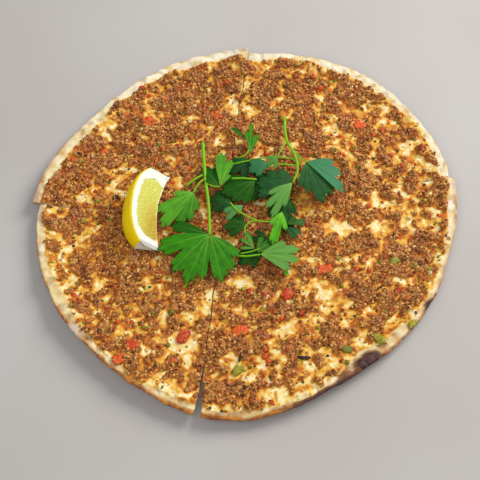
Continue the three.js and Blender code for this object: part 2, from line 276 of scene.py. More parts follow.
def cap(rim_ids, first, rings):
    """The quads of rings inside a rim, numbered from first, the last of which is one point."""
    loops = first + np.arange(rings * len(rim_ids)).reshape(rings, -1)
    loops[-1] = loops[-1, 0]
    return cells_round([rim_ids, *loops])


def joined(parts):
    """One mesh from several, as points, faces and masks. Each part's faces number its own points."""
    points, faces, masks = zip(*parts)
    firsts = np.cumsum([0] + [len(rows) for rows in points])
    faces = [rows + first for rows, first in zip(faces, firsts)]
    masks = {mask: np.concatenate([part[mask] for part in masks]) for mask in masks[0]}
    return np.concatenate(points), np.concatenate(faces), masks


def linked(name, data):
    """A new object with this data, in the scene."""
    made = bpy.data.objects.new(name, data)
    bpy.context.collection.objects.link(made)
    return made


def mesh_piece(name, points, triangles, finish, **masks):
    """An object with its place in its mesh, from points in millimetres, with a mask for each point."""
    mesh = bpy.data.meshes.new(name)
    mesh.vertices.add(len(points))
    mesh.vertices.foreach_set("co", (np.asarray(points) * MM).astype(np.float32).ravel())
    mesh.loops.add(3 * len(triangles))
    mesh.loops.foreach_set("vertex_index", triangles.astype(np.int32).ravel())
    mesh.polygons.add(len(triangles))
    mesh.polygons.foreach_set("loop_start", np.arange(0, 3 * len(triangles), 3, dtype=np.int32))
    mesh.update(calc_edges=True)
    mesh.shade_smooth()
    for mask, values in masks.items():
        mesh.attributes.new(mask, "FLOAT", "POINT").data.foreach_set("value", values.astype(np.float32))
    mesh.materials.append(finish.material)
    return linked(name, mesh)


def serve(piece, slot, *nodes):
    """The whole lahmacun is one body, so every piece of it rides on the root."""
    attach(piece, "root")
    if nodes:
        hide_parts(*nodes)


def paint(code):
    """A code such as d9c08f in the linear light that shaders work in. A wire stays as it is."""
    if not isinstance(code, str):
        return code
    parts = [int(code[k : k + 2], 16) / 255 for k in (0, 2, 4)]
    return (*[p / 12.92 if p <= 0.04045 else ((p + 0.055) / 1.055) ** 2.4 for p in parts], 1.0)


def feed(tree, socket, value):
    """Links a socket to the output that value is, or else sets it to value."""
    value = value.socket if isinstance(value, Wire) else value
    if isinstance(value, bpy.types.NodeSocket):
        tree.links.new(value, socket)
    else:
        socket.default_value = value


def add_node(tree, kind, settings=None, sockets=None):
    """The outputs of a new node, with its settings made and its sockets fed."""
    made = tree.nodes.new(kind)
    for setting, value in (settings or {}).items():
        setattr(made, setting, value)
    for socket, value in (sockets or {}).items():
        feed(tree, made.inputs[socket], value)
    return made.outputs


class Wire:
    """An output socket of a finish. Sums and products of wires add Math nodes to its tree."""

    def __init__(self, finish, socket):
        self.finish, self.socket = finish, socket

    def maths(self, operation, first, second):
        return self.finish.node("ShaderNodeMath", {"operation": operation}, {0: first, 1: second})

    def __add__(self, other):
        return self.maths("ADD", self, other)

    def __sub__(self, other):
        return self.maths("SUBTRACT", self, other)

    def __rsub__(self, other):
        return self.maths("SUBTRACT", other, self)

    def __mul__(self, other):
        return self.maths("MULTIPLY", self, other)

    __radd__, __rmul__ = __add__, __mul__

    def step(self, low, high):
        """0 below low and 1 above high."""
        ends = {"Value": self, "From Min": low, "From Max": high}
        return self.finish.node("ShaderNodeMapRange", {"interpolation_type": "SMOOTHSTEP"}, ends)


class Finish:
    """The surface of one kind of piece. Its even values are set on the shader's own sockets."""

    def __init__(self, name, **even):
        self.material = bpy.data.materials.new(name)
        self.material.use_nodes = True
        self.tree = self.material.node_tree
        self.shader = self.tree.nodes["Principled BSDF"]
        self.place = self.node("ShaderNodeTexCoord", output="Object")
        for socket, value in even.items():
            self.shader.inputs[socket.replace("_", " ")].default_value = value

    def node(self, kind, settings=None, sockets=None, output=0):
        return Wire(self, add_node(self.tree, kind, settings, sockets)[output])

    def mask(self, name):
        return self.node("ShaderNodeAttribute", {"attribute_name": name}, output="Fac")

    def mottle(self, size, detail=2.0):
        """Soft noise with spots about size millimetres across."""
        sockets = {"Vector": self.place, "Scale": 1 / (size * MM), "Detail": detail}
        return self.node("ShaderNodeTexNoise", None, sockets)

    def blend(self, share, below, above):
        """One colour turning into another, each a code or a wire, as share goes from 0 to 1."""
        colours = {"Factor": share, 6: paint(below), 7: paint(above)}
        return self.node("ShaderNodeMix", {"data_type": "RGBA"}, colours, output=2)

    def wear(self, colour, roughness=None, height=None, depth=0.2):
        """Feeds the shader: its colour, its roughness, and a relief of depth millimetres."""
        feed(self.tree, self.shader.inputs["Base Color"], colour)
        if roughness is not None:
            feed(self.tree, self.shader.inputs["Roughness"], roughness)
        if height is not None:
            relief = {"Height": height, "Distance": depth * MM, "Strength": 1.0}
            feed(self.tree, self.shader.inputs["Normal"], self.node("ShaderNodeBump", None, relief))


def baked_dough(finish, brown, char, flour):
    """The colour of bare dough: cream, browned, charred or floury as its masks say."""
    cream = finish.blend(finish.mottle(9).step(0.35, 0.7), "d9cea0", "cbb478")
    cream = finish.blend(finish.mottle(3.0, 3).step(0.5, 0.75) * 0.6, cream, "ebe2c4")
    cream = finish.blend(finish.mottle(5, 4).step(0.48, 0.68) * 0.55, cream, "d0983c")
    golden = finish.blend(finish.mottle(4).step(0.3, 0.7), "b5742a", "7c4216")
    toasted = finish.blend(brown, cream, golden)
    dusted = finish.blend(flour, toasted, "e2dccc")
    burnt_black = finish.blend(finish.mottle(5).step(0.4, 0.7), "2e1a19", "54302a")
    return finish.blend(char, dusted, burnt_black)


crust = Finish("baked flatbread", Roughness=0.72, Specular_IOR_Level=0.35)
crust.wear(
    baked_dough(crust, crust.mask("brown"), crust.mask("char"), crust.mask("flour")),
    height=crust.mottle(1.4, 3) + crust.mottle(5),
    depth=0.25,
)

BREAD_COLUMNS = 220
BREAD_ROWS = 44
NOSE_ROWS = 6


def bread_skin(name, up):
    """One skin of a quarter, top (up is 1) or underside (up is 0), which both end at the nose."""
    nose = NOSE / ROUND_RADIUS
    turn = np.linspace(0, np.pi / 2, NOSE_ROWS + 1)[1:]
    inner = (1 - nose) * (1 - (1 - np.linspace(0, 1, BREAD_ROWS + 1)) ** 1.6)
    t = np.concatenate((inner, 1 - nose + nose * np.sin(turn)))
    s, t = np.meshgrid(np.linspace(0, 1, BREAD_COLUMNS + 1), t, indexing="ij")
    x, y = quarter_points(name, s, t)
    low, high = underside(x, y), bread_top(x, y)
    middle = low + NOSE_SHARE * (high - low)
    fullness = np.concatenate((np.ones(BREAD_ROWS + 1), np.cos(turn)))
    return np.stack((x, y, middle + ((high if up else low) - middle) * fullness), -1)


def crust_masks(x, y, is_top):
    """Where the dough browned, charred or kept its flour."""
    bearing = np.degrees(np.arctan2(y, x)) % 360
    to_edge = (1 - rim_share(x, y)) * ROUND_RADIUS
    oven_side = 0.5 + 0.5 * np.cos(np.radians(bearing - OVEN_BEARING))
    reach = 0.1 + 1.5 * oven_side * swell(x, y, 22, 31) + 1.0 * swell(x, y, 6, 32)
    edge = smooth(reach + 1.5, reach - 1.0, to_edge) * (0.5 + 0.5 * oven_side)
    spots = smooth(0.5, 0.8, swell(x, y, 4, 33)) * 0.5 * smooth(16, 6, to_edge) * smooth(0, 4, to_edge)
    toast = 0.6 * smooth(0.35, 0.75, swell(x, y, 6, 38)) * oven_side**3 * smooth(16, 6, to_edge)
    brown = np.clip(edge + spots + toast, 0, 1)
    char = burnt(x, y)[1]
    first, last = SCORCHED
    scorched = smooth(first, first + 8, bearing) * smooth(last, last - 8, bearing)
    edge_char = scorched * smooth(3.2, 0.6, to_edge + 2.5 * (swell(x, y, 7, 36) - 0.5))
    char = np.maximum(char, 0.9 * edge_char)
    brown = np.maximum(brown, smooth(0.05, 0.4, char) * 0.9)
    floured = np.maximum(0.8 * patches(x, y, FLOURED), 0.6 * (1 - oven_side) ** 1.5)
    flour = floured * smooth(0.3, 0.6, swell(x, y, 4, 37)) * (1 - char)
    if not is_top:
        oven = smooth(0.45, 0.75, 0.6 * swell(x, y, 17, 41) + 0.4 * swell(x, y, 5, 42))
        spots = 0.6 * swell(x + 0.5 * y, y - 0.4 * x, 9, 43) + 0.4 * swell(x, y, 3.5, 44)
        spotted = smooth(0.6, 0.78, spots)
        brown = np.clip(brown + 0.75 * oven + 0.9 * spotted, 0, 1)
        char = np.maximum(char, 0.5 * spotted**2)
    return brown, char, flour


for name in QUARTERS:
    top, under = bread_skin(name, 1), bread_skin(name, 0)
    looks = zip(crust_masks(top[..., 0], top[..., 1], True), crust_masks(under[..., 0], under[..., 1], False))
    masks = dict(zip(("brown", "char", "flour"), [np.concatenate(pair).ravel() for pair in looks]))
    points = np.concatenate((top.reshape(-1, 3), under.reshape(-1, 3)))
    quarter = mesh_piece(f"crust_{name}", points, wound(two_skins(top.shape[:2])), crust, **masks)
    serve(quarter, "bread", f"bread_{name}")

# --- The topping ---------------------------------------------------------------------------------
# Minced meat worked with onion, tomato, pepper, parsley and oil, pressed onto the raw dough in a thin
# uneven spread and baked with it. It crumbled as it cooked, so that dough shows through it in pale
# patches, stained orange by the oil round the meat. It runs to the cuts, where its layer shows.

MARGIN = 3.4
MARGIN_GROWS = 2.6
NARROWEST_BEARING = -1.1
MARGIN_WAVES = 1.3
MEAT_FROM, MEAT_FULL = 0.47, 0.57
BLISTER_BEARING = -0.975
BLISTER_REACH = 0.13
BLISTER_MARGIN = 6.5
BED_CELLS = 276
BED_KERF = 0.86
FILM = 0.15
EDGE_WIDTH = 3.0

# Patches with little or no meat, as (x, y, length, width, turn in degrees).
BARE = (
    (-89, 38, 13, 11, 0),
    (55, -37, 16, 11, -20),
    (76, -37, 12, 9, 0),
    (70, -13, 7, 14, 20),
    (44, 3, 17, 10, 10),
    (12, -138, 11, 8, 0),
    (44, -118, 6, 12, 10),
    (125, 61, 14, 15, 0),
    (80, 63, 10, 10, 0),
    (111, 81, 8, 9, 0),
    (62, 71, 8, 12, 0),
    (36, 59, 10, 10, 0),
    (-43, -77, 38, 8, 12),
    (-35, -108, 11, 20, -25),
    (-10, 97, 5, 30, 4),
    (1, 97, 6, 30, 4),
    (57, -112, 8, 15, -10),
    (-58, -106, 16, 8, 20),
    (-103, 25, 20, 9, 15),
    (-125, -27, 16, 9, 0),
    (25, -90, 24, 9, 8),
    (102, 7, 11, 9, 0),
    (132, 22, 12, 15, 0),
    (-61, -38, 16, 7, 0),
    (-26, -66, 9, 9, 0),
    (60, -62, 26, 8, 15),
    (95, -15, 16, 8, 30),
    (-66, 112, 14, 8, 30),
    (30, 120, 12, 8, 0),
    (-135, -46, 24, 12, -71),
    (-113, -93, 28, 12, -50),
    (-64, -128, 24, 10, -27),
)


def margin(bearing):
    """The bare band between the topping and the rim."""
    waves = np.sin(7 * bearing + 1) + 0.6 * np.sin(17 * bearing + 2) + 0.5 * np.sin(31 * bearing)
    grown = MARGIN_GROWS * (0.5 - 0.5 * np.cos(bearing - NARROWEST_BEARING))
    beside_blister = bell(bearing - BLISTER_BEARING, BLISTER_REACH)
    return MARGIN + grown + MARGIN_WAVES * waves + BLISTER_MARGIN * beside_blister


def bare_share(x, y):
    """1 in the middle of a bare patch, and 0 away from all of them."""
    bare = np.zeros(x.shape)
    for px, py, length, width, turn in BARE:
        along, across = turned_to(x - px, y - py, -turn, (0, 0))
        bare = np.maximum(bare, np.exp(-((1.5 * along / length) ** 2 + (1.5 * across / width) ** 2)))
    return bare


def richness(x, y):
    """How rich the spread is at a point, 0 to 1: meat from MEAT_FROM up, and oil-stained dough below."""
    drift_x = x + 4 * (swell(x, y, 8, 54) - 0.5)
    drift_y = y + 4 * (swell(x, y, 8, 55) - 0.5)
    slant_x, slant_y = 0.83 * drift_x - 0.56 * drift_y, 0.56 * drift_x + 0.83 * drift_y
    clumps = 0.37 * swell(drift_x, drift_y, 9.5, 51) + 0.34 * swell(slant_x, slant_y, 4.6, 52)
    clumps = clumps + 0.29 * swell(drift_x, drift_y, 2.2, 53)
    side = 0.026 - 0.024 * (x - 0.6 * y) / ROUND_RADIUS
    to_edge = (1 - rim_share(x, y)) * ROUND_RADIUS
    return clumps + side - 0.17 * bare_share(x, y) - 0.11 * smooth(13, 4, to_edge)


def bed_relief(x, y):
    """Height of the topping over the bread, its share of meat, its oil stain, and its tone."""
    rich = richness(x, y)
    meat = 0.04 + 0.96 * smooth(MEAT_FROM, MEAT_FULL, rich)
    stain = smooth(0.24, 0.5, rich + 0.12 * (swell(x, y, 3.2, 70) - 0.5))
    coarse, coarse_tone = grains(x, y, 3.4, 61)
    fine, fine_tone = grains(x + 0.4 * swell(x, y, 1.5, 66), y, 1.7, 64)
    heap = swell(x, y, 8, 67)
    crumbs = 0.35 + 0.75 * coarse * (0.4 + coarse_tone) + 0.6 * fine + 0.9 * heap
    dough = FILM + 0.7 * swell(x, y, 5.5, 68) ** 2 + 0.5 * swell(x, y, 2.2, 69)
    return dough + meat * crumbs, meat, stain, 0.55 * coarse_tone + 0.45 * fine_tone


def bed_grid(name):
    """The topping of one quarter on a grid that is square at the crossing and even to the rim."""
    u, v = np.meshgrid(np.linspace(0, 1, BED_CELLS + 1), np.linspace(0, 1, BED_CELLS + 1), indexing="ij")
    across, along = u * np.sqrt(1 - v**2 / 2), v * np.sqrt(1 - u**2 / 2)
    t = np.hypot(across, along)
    s = np.where(t > 0, np.arctan2(along, across) / (np.pi / 2), 0.5)
    rim_x, rim_y = quarter_points(name, s, np.ones(s.shape))
    rim_away = np.hypot(rim_x - CROSSING[0], rim_y - CROSSING[1])
    reach = 1 - margin(np.arctan2(rim_y, rim_x)) / rim_away
    x, y = quarter_points(name, s, t * reach, BED_KERF)
    return x, y, (1 - t) * rim_away


def ring_ids(ids):
    """The point numbers round the edge of a grid, in order."""
    return np.concatenate((ids[:-1, 0], ids[-1, :-1], ids[:0:-1, -1], ids[0, :0:-1]))


mince = Finish("baked mince and dough", Specular_IOR_Level=0.28)
stain = mince.mask("stain")
dough_colour = mince.blend(mince.mottle(5, 3).step(0.38, 0.66), "e6d8a2", "dcbc68")
dough_colour = mince.blend(mince.mottle(2.6, 3).step(0.54, 0.74) * 0.8, dough_colour, "f2ebd4")
golden = mince.blend(mince.mottle(3, 3).step(0.35, 0.65), "dfb444", "d08e20")
dough_colour = mince.blend((stain + 0.5 * mince.mottle(4.5, 3)).step(0.24, 0.62), dough_colour, golden)
oily = mince.blend(mince.mottle(3.5, 3).step(0.36, 0.66), "c47418", "a04a0c")
dough_colour = mince.blend(stain.step(0.5, 1.0), dough_colour, oily)
meat_colour = mince.blend(mince.mask("tone").step(0.15, 0.85), "84441a", "c28238")
meat_colour = mince.blend(mince.mottle(1.1, 3).step(0.45, 0.75) * 0.55, meat_colour, "5a3014")
mince.wear(
    mince.blend(mince.mask("meat"), dough_colour, meat_colour),
    roughness=0.6 - 0.22 * mince.mottle(5).step(0.4, 0.7),
    height=mince.mottle(0.8, 3) + mince.mottle(2.0),
    depth=0.3,
)

RINGS = (1.0, 0.96, 0.86, 0.7, 0.45, 0.0)
BED_FOOT = -0.45
beds, spread = {}, []
for name in QUARTERS:
    x, y, inward = bed_grid(name)
    relief, meat_here, stain_here, tone_here = bed_relief(x, y)
    edge = smooth(0, EDGE_WIDTH, inward)
    height = BED_FOOT * (1 - edge) + relief * edge
    ids = np.arange(x.size).reshape(x.shape)
    rim_ids = ring_ids(ids)
    loop_x, loop_y = x.ravel()[rim_ids], y.ravel()[rim_ids]
    centre_x, centre_y = x[BED_CELLS // 2, BED_CELLS // 2], y[BED_CELLS // 2, BED_CELLS // 2]
    top_points = np.stack((x, y, bread_top(x, y) + height), -1).reshape(-1, 3)
    under = []
    for share in RINGS:
        ring_x, ring_y = centre_x + share * (loop_x - centre_x), centre_y + share * (loop_y - centre_y)
        under.append(np.stack((ring_x, ring_y, bread_top(ring_x, ring_y) + BED_FOOT), -1))
    triangles = wound(np.concatenate((cells(ids), cap(rim_ids, x.size, len(RINGS))))[:, ::-1])
    padding = np.zeros(len(under) * len(rim_ids))
    beds[name] = mesh_piece(
        f"topping_{name}",
        np.concatenate((top_points, *under)),
        triangles,
        mince,
        meat=np.append(meat_here * edge, padding),
        tone=np.append(tone_here, padding),
        stain=np.append(stain_here * edge, padding),
    )
    follows = {"spread": edge.ravel(), "meat": (meat_here * edge).ravel()}
    spread.append((top_points, cells(ids)[:, ::-1], follows))
    serve(beds[name], "meat", f"meat_{name}")

# --- The loose crumbs of meat ----------------------------------------------------------------------
# Mince crumbles into beads of 1 to 3 mm as it bakes. Each is a knobbly lump of its own, browner or
# paler than the next, and they lie thickest where the meat does.


def knob(name, around, rings, flat, ragged, seed):
    """A closed lump 1 m across, to be scaled when it is strewn: rings of points between two poles."""
    rng = np.random.default_rng(seed)
    points = [(0, 0, -0.5 * flat)]
    for k in range(1, rings + 1):
        level = math.pi * k / (rings + 1)
        for turn in np.linspace(0, 2 * math.pi, around, endpoint=False) + 0.3 * k:
            radius = 0.5 * math.sin(level) * rng.uniform(1 - ragged, 1 + ragged)
            height = -0.5 * flat * math.cos(level) * rng.uniform(1 - ragged, 1 + ragged)
            points.append((radius * math.cos(turn), radius * math.sin(turn), height))
    points.append((0, 0, 0.5 * flat))
    rows = 1 + np.arange(rings * around).reshape(rings, around)
    rows = np.concatenate((np.zeros((1, around), int), rows, np.full((1, around), len(points) - 1)))
    mesh = bpy.data.meshes.new(name)
    mesh.from_pydata(points, [], wound(cells_round(rows)).tolist())
    return bpy.data.objects.new(name, mesh)


def strewing_tree():
    """Lays shapes from a collection all over a mesh, as thickly as one of its masks says."""
    tree = bpy.data.node_groups.new("strewing", "GeometryNodeTree")
    kinds = {
        "Ground": "Geometry",
        "Mask": "String",
        "Density": "Float",
        "Smallest": "Float",
        "Largest": "Float",
        "Lean": "Float",
        "Seed": "Int",
        "Shapes": "Collection",
        "Finish": "Material",
    }
    for label, kind in kinds.items():
        tree.interface.new_socket(label, in_out="INPUT", socket_type=f"NodeSocket{kind}")
    tree.interface.new_socket("Pieces", in_out="OUTPUT", socket_type="NodeSocketGeometry")
    given = tree.nodes.new("NodeGroupInput").outputs

    def node(kind, settings=None, sockets=None):
        return add_node(tree, kind, settings, sockets)

    def drawn(kind, lowest, highest, salt):
        seed = node("ShaderNodeMath", {"operation": "ADD"}, {0: given["Seed"], 1: salt})[0]
        ends = {"FLOAT": (2, 3, 1), "FLOAT_VECTOR": (0, 1, 0)}[kind]
        sockets = {ends[0]: lowest, ends[1]: highest, "Seed": seed}
        return node("FunctionNodeRandomValue", {"data_type": kind}, sockets)[ends[2]]

    share = node("GeometryNodeInputNamedAttribute", {"data_type": "FLOAT"}, {"Name": given["Mask"]})[0]
    density = node("ShaderNodeMath", {"operation": "MULTIPLY"}, {0: share, 1: given["Density"]})[0]
    spots = node(
        "GeometryNodeDistributePointsOnFaces",
        None,
        {"Mesh": given["Ground"], "Density": density, "Seed": given["Seed"]},
    )
    lean = given["Lean"]
    back = node("ShaderNodeMath", {"operation": "MULTIPLY"}, {0: lean, 1: -1.0})[0]
    lowest = node("ShaderNodeCombineXYZ", None, {0: back, 1: back, 2: 0.0})[0]
    highest = node("ShaderNodeCombineXYZ", None, {0: lean, 1: lean, 2: 2 * math.pi})[0]
    turned = node("FunctionNodeEulerToRotation", None, {0: drawn("FLOAT_VECTOR", lowest, highest, 1)})[0]
    turning = {0: spots["Rotation"], 1: turned}
    laid = node("FunctionNodeRotateRotation", {"rotation_space": "LOCAL"}, turning)[0]
    spread = drawn("FLOAT", 0.0, 1.0, 2)
    skewed = node("ShaderNodeMath", {"operation": "POWER"}, {0: spread, 1: 1.8})[0]
    size = node("ShaderNodeMapRange", None, {0: skewed, 3: given["Smallest"], 4: given["Largest"]})[0]
    shapes = node(
        "GeometryNodeCollectionInfo",
        None,
        {"Collection": given["Shapes"], "Separate Children": True, "Reset Children": True},
    )[0]
    placing = {"Instance": shapes, "Pick Instance": True, "Rotation": laid, "Scale": size}
    placed = node("GeometryNodeInstanceOnPoints", None, {"Points": spots["Points"], **placing})[0]
    toned = node(
        "GeometryNodeStoreNamedAttribute",
        {"data_type": "FLOAT", "domain": "INSTANCE"},
        {"Geometry": placed, "Name": "tone", "Value": drawn("FLOAT", 0.0, 1.0, 3)},
    )[0]
    whole = node("GeometryNodeRealizeInstances", None, {0: toned})[0]
    soft = node("GeometryNodeSetShadeSmooth", None, {0: whole})[0]
    done = node("GeometryNodeSetMaterial", None, {0: soft, "Material": given["Finish"]})[0]
    tree.links.new(done, tree.nodes.new("NodeGroupOutput").inputs[0])
    return tree


strewing = strewing_tree()


def strew(name, ground, shapes, mask, density, sizes, lean, seed, finish, slot):
    """Makes one piece of many small things on ground: density is how many lie on a square metre."""
    store = bpy.data.collections.new(name + "_shapes")
    for shape in shapes:
        store.objects.link(shape)
    layer = linked(name + "_layer", ground.data)
    modifier = layer.modifiers.new("strewing", "NODES")
    modifier.node_group = strewing
    values = {
        "Mask": mask,
        "Density": float(density),
        "Smallest": sizes[0] * MM,
        "Largest": sizes[1] * MM,
        "Lean": lean,
        "Seed": seed,
        "Shapes": store,
        "Finish": finish.material,
    }
    for socket in strewing.interface.items_tree:
        if socket.name in values:
            modifier[socket.identifier] = values[socket.name]
    seen = layer.evaluated_get(bpy.context.evaluated_depsgraph_get())
    mesh = bpy.data.meshes.new_from_object(seen)
    mesh.name = name
    bpy.data.objects.remove(layer)
    for shape in shapes:
        bpy.data.objects.remove(shape)
    bpy.data.collections.remove(store)
    serve(linked(name, mesh), slot)


crumb = Finish("mince crumbs", Specular_IOR_Level=0.28)
crumb_tone = crumb.mask("tone")
crumb_colour = crumb.blend(crumb_tone.step(0.05, 0.5), "6a3412", "a8682a")
crumb_colour = crumb.blend(crumb_tone.step(0.5, 0.95), crumb_colour, "e2ac5c")
rosy = crumb.blend(crumb_tone.step(0.1, 0.9), "84482c", "cc8c60")
crumb_colour = crumb.blend(crumb.mottle(13, 2).step(0.5, 0.68) * 0.75, crumb_colour, rosy)
crumb_colour = crumb.blend(crumb.mottle(9, 3).step(0.54, 0.66) * 0.7, crumb_colour, "5a3014")
crumb_colour = crumb.blend(crumb.mottle(6.5, 3).step(0.53, 0.66) * 0.6, crumb_colour, "dda85c")
crumb_colour = crumb.blend(crumb.mottle(8, 3).step(0.55, 0.66) * 0.6, crumb_colour, "b84a18")
crumb_colour = crumb.blend(crumb.mottle(0.9, 3).step(0.5, 0.75) * 0.45, crumb_colour, "4a2a14")
crumb.wear(
    crumb_colour,
    roughness=0.64 - 0.24 * crumb.mottle(2).step(0.4, 0.7),
    height=crumb.mottle(0.5, 3),
    depth=0.2,
)

CRUMBS_A_SQUARE_METRE = 640000
CRUMB_KINDS = 9
CRUMB_SHAPE = (5, 2, 0.75, 0.42)
CRUMB_SIZES = (0.7, 2.9)
CRUMB_LEAN = 3.14
for number, name in enumerate(QUARTERS):
    lumps = [knob(f"knob_{number}_{k}", *CRUMB_SHAPE, 80 + k) for k in range(CRUMB_KINDS)]
    where = (f"crumbs_{name}", beds[name], lumps, "meat", CRUMBS_A_SQUARE_METRE)
    strew(*where, CRUMB_SIZES, CRUMB_LEAN, 90 + number, crumb, "meat")

# --- The vegetables, herbs and seared bits ---------------------------------------------------------
# Tomato and green pepper were diced by hand into the mince, and the larger dice stand out of it. With
# them lie softer shreds of tomato, pepper and onion, chopped parsley, and specks seared black.

TOMATO_DICE = (
    (-77, -104, 10, 8.5, 20),
    (-43, -95.6, 10, 7, 70),
    (-18.5, -103.5, 8, 6, 100),
    (-5, -92, 10.5, 7, 15),
    (28, -64.5, 9.5, 8, 40),
    (54, -45, 11, 6.5, 10),
    (87, 78.7, 8, 9, 60),
    (-74.8, 81.5, 10, 9, 30),
    (-22.4, 89, 9, 8, 0),
)
PEPPER_DICE = (
    (88.5, -99.5, 9, 6, 120),
    (66, -106.4, 8.5, 5, 0),
    (103, -39.2, 8, 5.5, 30),
    (118, -43, 7, 5, 60),
    (-6.5, -120.5, 8, 6, 45),
)
RIM_TOMATO = (-84.5, -115, 9.5, 7, 20)
RIM_PEPPER = (111, -88.5, 7, 5, 40)
SLIVERS = (
    (-3, -136, 10, 2.4, 70),
    (37, -112, 8, 2.2, -5),
    (-95, 14, 5, 2.2, -35),
    (-5, -111, 6, 1.8, 80),
)
DIE_AROUND, DIE_RINGS = 26, 13
DIE_STANDS = 1.5
SLIVER_STANDS = 2.0
DIE_SEAT = 1.2
SEAT_FOLLOWS = 0.6
DIE_SINKS = 1.6
CORNERS = 0.5


def squared(wave):
    """A sine or cosine, from -1 to 1, that squares off a round form as far as CORNERS says."""
    return np.sign(wave) * np.abs(wave) ** CORNERS


def morsels(name, dice, stands, finish, slot, nodes, seed):
    """Soft-cornered dice as one piece, half sunk in the topping, each wrinkled in its own way."""
    around = np.linspace(0, 2 * np.pi, DIE_AROUND, endpoint=False)
    u, v = np.meshgrid(around, np.linspace(-np.pi / 2, np.pi / 2, DIE_RINGS), indexing="ij")
    across, along = squared(np.cos(v)) * squared(np.cos(u)), squared(np.cos(v)) * squared(np.sin(u))
    lift = squared(np.sin(v))
    ids = np.arange(u.size).reshape(u.shape)
    ids[:, 0], ids[:, -1] = ids[0, 0], ids[0, -1]
    quads = cells_round(ids.T)
    parts = []
    for k, (x, y, length, width, turn) in enumerate(dice):
        dent = 1 + 0.5 * (swell(across * 3 + 9 * k, along * 3, 1.3, seed) - 0.5)
        skew = 1 + 0.18 * along * math.sin(k * 2.4)
        px, py = 0.5 * length * across * dent * skew, 0.5 * width * along * dent
        wx, wy = turned_to(px, py, turn, (x, y))
        top = stands * (0.8 + 0.5 * swell(wx, wy, 2.6, seed + 1))
        top = top + 0.7 * (swell(wx, wy, 1.3, seed + 2) - 0.4)
        height = np.where(lift > 0, lift * top, lift * DIE_SINKS)
        seat = bread_top(np.array(float(x)), np.array(float(y)))
        ground = seat + DIE_SEAT + SEAT_FOLLOWS * (bread_top(wx, wy) - seat)
        tone = chance(np.array([k]), np.array([seed]), 5)[0]
        points = np.stack((wx, wy, ground + height), -1).reshape(-1, 3)
        parts.append((points, quads, {"tone": np.full(u.size, tone)}))
    points, quads, masks = joined(parts)
    serve(mesh_piece(name, points, wound(quads), finish, **masks), slot, *nodes)


def soft_finish(name, dark, light, seared, roughness):
    """A cooked vegetable: two shades by its tone, mottled, wet in places and browned in others."""
    made = Finish(name, Specular_IOR_Level=0.3)
    colour = made.blend(made.mask("tone").step(0.1, 0.9), dark, light)
    colour = made.blend(made.mottle(2.4, 3).step(0.48, 0.72) * 0.7, colour, seared)
    colour = made.blend(made.mottle(1.6, 2).step(0.5, 0.7) * 0.35, colour, "dba24a")
    wet = made.mottle(2.5, 2).step(0.35, 0.65)
    made.wear(colour, roughness=roughness - 0.15 * wet, height=made.mottle(1.2, 3), depth=0.5)
    return made


tomato = soft_finish("baked tomato", "a82404", "cc4c0e", "7a2e0c", 0.55)
pepper = soft_finish("baked green pepper", "5a6a0e", "989022", "6a5010", 0.55)
onion = soft_finish("baked onion", "c8a65c", "dcc890", "b08038", 0.5)
chopped = soft_finish("chopped parsley", "22360a", "476414", "241c0c", 0.65)
seared = soft_finish("seared specks", "170c08", "3b1d10", "0e0705", 0.6)

tomato_nodes = [f"tomato_{k + 1}" for k in range(len(TOMATO_DICE))]
pepper_nodes = [f"pepper_{k + 1}" for k in range(len(PEPPER_DICE))]
morsels("tomato_dice", (*TOMATO_DICE, RIM_TOMATO), DIE_STANDS, tomato, "tomato", tomato_nodes, 161)
morsels("pepper_dice", (*PEPPER_DICE, RIM_PEPPER), DIE_STANDS, pepper, "pepper", pepper_nodes, 165)
morsels("seared_slivers", SLIVERS, SLIVER_STANDS, seared, "char", (), 168)

points, quads, masks = joined(spread)
field = mesh_piece("field", points, wound(quads), mince, **masks)

# Each kind of bit: its piece, slot and finish, the mask that it follows, how many lie on a square
# metre, its sizes, and its shape as points round it, rings, flatness and raggedness.
BITS = (
    ("tomato_shreds", "tomato", tomato, "spread", 3000, (1.8, 5.5), (8, 3, 0.35, 0.45)),
    ("pepper_bits", "pepper", pepper, "spread", 1900, (1.6, 4.6), (7, 3, 0.55, 0.25)),
    ("onion_bits", "meat", onion, "spread", 2800, (1.6, 4.4), (8, 3, 0.35, 0.4)),
    ("herb_flecks", "parsley", chopped, "spread", 6000, (0.9, 3.0), (6, 2, 0.3, 0.35)),
    ("seared_specks", "char", seared, "meat", 17000, (0.6, 2.7), (6, 2, 0.6, 0.35)),
)
BIT_KINDS = 5
BIT_LEAN = 0.5
for number, (name, slot, finish, mask, density, sizes, shape) in enumerate(BITS):
    lumps = [knob(f"{name}_{k}", *shape, 180 + 10 * number + k) for k in range(BIT_KINDS)]
    strew(name, field, lumps, mask, density, sizes, BIT_LEAN, 200 + number, finish, slot)
bpy.data.objects.remove(field)

# --- The lemon wedge -------------------------------------------------------------------------------
# A wedge cut from a lemon lengthways, with both tips trimmed off. It lies on one of its cut faces,
# with its peel to the left, and its thin inner edge bows a little where the flesh gave way.

LEMON_RADIUS = 31
LEMON_HALF_LENGTH = 36
LEMON_TRIM = 31
LEMON_FULLNESS = 2.3
LEMON_ANGLE = 44
LEMON_BOW = 7
LEMON_TIP = 0.8
LEMON_PLACE = (-58.5, -1.0)
LEMON_TURN = -5
PITH = 5.0
END_PITH = 5.5
CORNER = 10
END_ROUND = 3.0
END_DROP = 1.6
FOOT_LIFT = 0.45
LEMON_SEED = (6.2, 20.5, 2.6)
LEMON_STATIONS = 170
FACE_POINTS = 64
ARC_POINTS = 48
CORE_POINTS = 5
CAP_RINGS = (0.97, 0.7, 0.35, 0.0)

